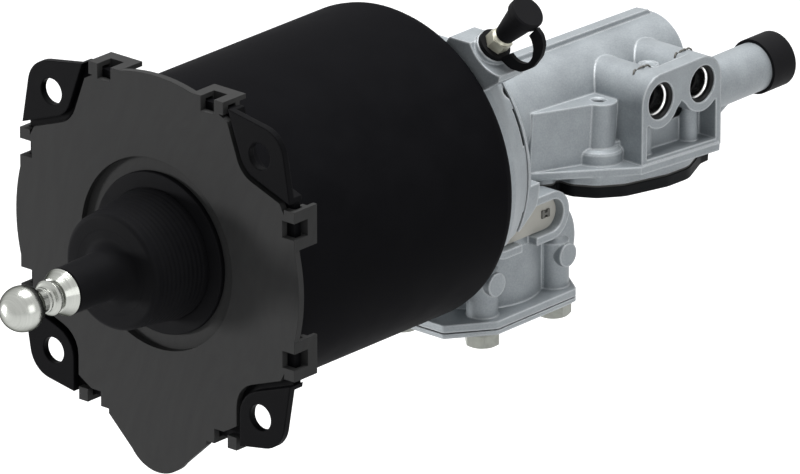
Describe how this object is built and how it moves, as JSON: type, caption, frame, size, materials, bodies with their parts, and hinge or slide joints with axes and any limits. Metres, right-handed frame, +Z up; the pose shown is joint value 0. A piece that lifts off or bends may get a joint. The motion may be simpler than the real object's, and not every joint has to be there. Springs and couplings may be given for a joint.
{
  "type": "clutch actuator",
  "caption": "Clutch actuator: black air cylinder on an eared flange with a hydraulic servo casting behind it, a relay valve below and a ball-ended push rod in a rubber boot.",
  "frame": {"origin": "centre of the four mounting holes, in the plane of the ears' front faces, on the cylinder's axis", "axes": "+X along the cylinder towards the push rod's ball, +Y to the side of the two ports, +Z up, away from the relay valve"},
  "size_m": [0.4334, 0.15, 0.1734],
  "materials": {
    "can_black": "satin black coat",
    "flange_black": "satin black coat",
    "cover_grey": "fine diagonal grain",
    "boot_rubber": "matt",
    "bright_steel": "polished",
    "pale_plastic": "matt",
    "spring_steel": "drawn",
    "piston_alloy": "machined",
    "seal_rubber": "matt",
    "plunger_steel": "ground",
    "cast_alloy": "cast, satin",
    "bush_bronze": "turned",
    "screw_steel": "zinc plated",
    "sleeve_black": "matt",
    "ring_steel": "bright",
    "sheet_grey": "matt",
    "cover_black": "moulded, satin",
    "cap_black": "matt",
    "filter_felt": "porous",
    "zinc_bolt": "pale zinc",
    "type_plate": "matt beige, bare",
    "bleed_zinc": "yellowish zinc"
  },
  "bodies": {
    "housing": {"can": "can_black", "ear_plate": "flange_black", "front_cover": "cover_grey", "boot": "boot_rubber", "preload_spring": "spring_steel", "cylinder_head": "cast_alloy", "head_seal": "seal_rubber", "gland_bush": "bush_bronze", "gland_seal": "seal_rubber", "head_gasket": "seal_rubber", "head_screws": "screw_steel", "servo_body": "cast_alloy", "port_sleeves": "sleeve_black", "port_rings": "ring_steel", "cover_sheet": "sheet_grey", "valve_cover": "cover_black", "cover_screws": "screw_steel", "vent_filter": "filter_felt", "relay_housing": "cast_alloy", "relay_gasket": "seal_rubber", "relay_bottom_plate": "cast_alloy", "relay_bolts": "zinc_bolt", "relay_spring": "spring_steel", "name_plate": "type_plate", "plate_rivets": "bleed_zinc", "bleed_tether": "cap_black"},
    "piston": {"air_piston": "piston_alloy", "piston_seal": "seal_rubber", "guide_ring": "pale_plastic", "plunger": "plunger_steel", "plunger_seal": "seal_rubber", "rod_seat": "pale_plastic", "seat_ring": "spring_steel"},
    "push_rod": {"push_rod": "bright_steel"},
    "bleed_screw": {"bleed_screw": "bleed_zinc"},
    "bleed_cap": {"bleed_cap": "cap_black"},
    "end_cap": {"end_cap": "cap_black"},
    "relay_piston": {"relay_piston": "piston_alloy", "relay_piston_seal": "seal_rubber"},
    "relay_valve": {"relay_valve": "seal_rubber"}
  },
  "joints": [
    {"name": "rod_stroke", "type": "slide", "parent": "housing", "child": "piston", "axis": [1, 0, 0], "range_m": [-0.018, 0.035], "deforming": ["boot", "preload_spring"]},
    {"name": "rod_swing", "type": "hinge", "parent": "piston", "child": "push_rod", "pos_m": [-0.044, 0, 0], "axis": [0, 1, 0], "range_deg": [-2, 2]},
    {"name": "bleed_turn", "type": "hinge", "parent": "housing", "child": "bleed_screw", "pos_m": [-0.1505, 0.0458, 0.0564], "axis": [0, 0.6884, 0.7254], "range_deg": [0, 270]},
    {"name": "bleed_cap_pull", "type": "slide", "parent": "housing", "child": "bleed_cap", "axis": [0, 0.6884, 0.7254], "range_m": [0, 0.012], "deforming": ["bleed_tether"]},
    {"name": "end_cap_pull", "type": "slide", "parent": "housing", "child": "end_cap", "axis": [-1, 0, 0], "range_m": [0, 0.016]},
    {"name": "relay_stroke", "type": "slide", "parent": "housing", "child": "relay_piston", "axis": [0, 0, -1], "range_m": [0, 0.0025], "stiffness_N_per_m": 800, "springref_m": -0.0015, "deforming": ["relay_spring"]},
    {"name": "relay_valve_lift", "type": "slide", "parent": "housing", "child": "relay_valve", "axis": [0, 0, -1], "range_m": [0, 0.0016]}
  ],
  "couplings": [
    {"joint": "relay_valve_lift", "follows": "relay_stroke", "ratio": 0.6}
  ]
}
